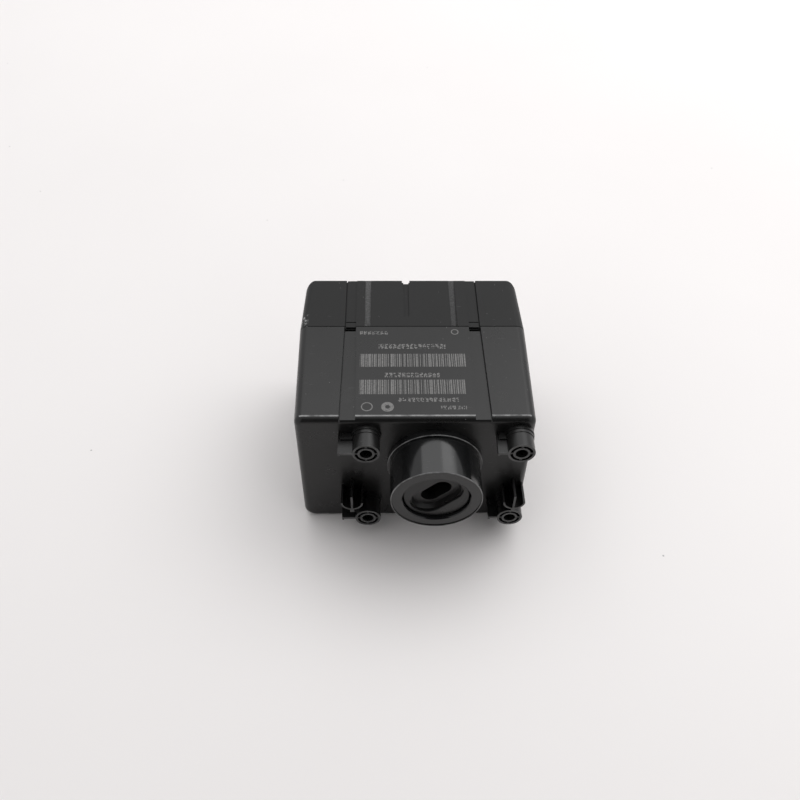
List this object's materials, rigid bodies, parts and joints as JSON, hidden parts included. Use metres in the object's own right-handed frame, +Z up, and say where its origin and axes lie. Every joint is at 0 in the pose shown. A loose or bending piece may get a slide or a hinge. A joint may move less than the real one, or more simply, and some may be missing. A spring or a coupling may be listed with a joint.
{
  "type": "key fob ignition switch module",
  "caption": "Boxy black vehicle ignition module with a turning oval key-fob socket in a round front barrel, cored screw bosses and rear harness sockets.",
  "frame": {"origin": "bottom centre of the module's bounding box, barrel included", "axes": "+Z up, -Y towards the user along the barrel and rotor axis, +X to the user's right; the rotor turns about +Y"},
  "size_m": [0.1006, 0.1072, 0.0683],
  "materials": {
    "black_housing": "moulded glass-filled plastic, fine spark-eroded texture, laser-marked label field",
    "black_cover": "moulded glass-filled plastic, fine texture",
    "gloss_barrel": "moulded plastic, polished",
    "rotor_plastic": "moulded plastic, satin",
    "black_nylon": "moulded nylon",
    "natural_nylon": "natural moulded nylon",
    "switch_plastic": "moulded thermoset",
    "connector_plastic": "moulded connector shroud",
    "grey_connector": "moulded connector shroud, grey",
    "circuit_board": "solder-masked glass epoxy",
    "chip_epoxy": "moulded chip epoxy",
    "relay_case": "moulded relay case",
    "capacitor_can": "drawn can",
    "tinned_shield": "tinned steel sheet",
    "tinned_pin": "tin plated",
    "zinc_steel": "zinc plated",
    "spring_steel": "drawn spring wire",
    "cast_zinc": "die-cast zinc",
    "bronze_bush": "sintered bronze",
    "copper_wire": "enamelled copper wire",
    "magnet_ferrite": "sintered ferrite"
  },
  "bodies": {
    "housing": {"front_housing": "black_housing", "rear_cover": "black_cover", "barrel": "gloss_barrel", "barrel_nut": "black_nylon", "switch_carrier": "black_nylon", "shaft_bush": "bronze_bush", "carrier_screws": "zinc_steel", "board_screws": "zinc_steel", "return_spring": "spring_steel", "start_switch_body": "switch_plastic", "run_switch_body": "switch_plastic", "detent_guide": "black_nylon", "detent_spring": "spring_steel", "solenoid_yoke": "zinc_steel", "solenoid_bobbin": "natural_nylon", "solenoid_coil": "copper_wire", "lock_spring": "spring_steel", "main_board": "circuit_board", "position_sensor": "chip_epoxy", "relays": "relay_case", "capacitors": "capacitor_can", "processor_chips": "chip_epoxy", "receiver_board": "circuit_board", "receiver_shield": "tinned_shield", "receiver_antenna": "copper_wire", "board_header": "connector_plastic", "coil_bobbin": "natural_nylon", "transponder_coil": "copper_wire", "main_connector": "connector_plastic", "main_connector_pins": "tinned_pin", "column_connector": "grey_connector", "column_connector_pins": "tinned_pin", "antenna_connector": "connector_plastic", "antenna_connector_pins": "tinned_pin"},
    "rotor": {"fob_rotor": "rotor_plastic", "fob_slider_spring": "spring_steel", "rotor_shaft": "cast_zinc", "rotor_retainer": "zinc_steel", "switch_cam": "natural_nylon", "detent_ring": "black_nylon", "lock_ring": "cast_zinc", "retaining_clip": "spring_steel", "position_magnet": "magnet_ferrite"},
    "fob_slider": {"fob_slider": "black_nylon"},
    "lock_bolt": {"lock_bolt": "zinc_steel"},
    "detent_plunger": {"detent_plunger": "natural_nylon"},
    "start_button": {"start_switch_button": "natural_nylon"},
    "run_button": {"run_switch_button": "natural_nylon"}
  },
  "joints": [
    {"name": "rotor_turn", "type": "hinge", "parent": "housing", "child": "rotor", "pos_m": [0.0087, -0.03, 0.0418], "axis": [0, 1, 0], "range_deg": [0, 90]},
    {"name": "fob_slide", "type": "slide", "parent": "rotor", "child": "fob_slider", "axis": [0, 1, 0], "range_m": [0, 0.0035], "stiffness_N_per_m": 400, "springref_m": -0.001, "deforming": ["fob_slider_spring"]},
    {"name": "lock_bolt_slide", "type": "slide", "parent": "housing", "child": "lock_bolt", "axis": [1, 0, 0], "range_m": [0, 0.003], "stiffness_N_per_m": 500, "springref_m": -0.001, "deforming": ["lock_spring"]},
    {"name": "detent_slide", "type": "slide", "parent": "housing", "child": "detent_plunger", "axis": [0, 0, 1], "range_m": [0, 0.0012], "stiffness_N_per_m": 800, "springref_m": -0.001, "deforming": ["detent_spring"]},
    {"name": "start_button_press", "type": "slide", "parent": "housing", "child": "start_button", "axis": [1, 0, 0], "range_m": [0, 0.0008], "stiffness_N_per_m": 600, "springref_m": -0.0005},
    {"name": "run_button_press", "type": "slide", "parent": "housing", "child": "run_button", "axis": [0, 0, -1], "range_m": [0, 0.0008], "stiffness_N_per_m": 600, "springref_m": -0.0005}
  ]
}
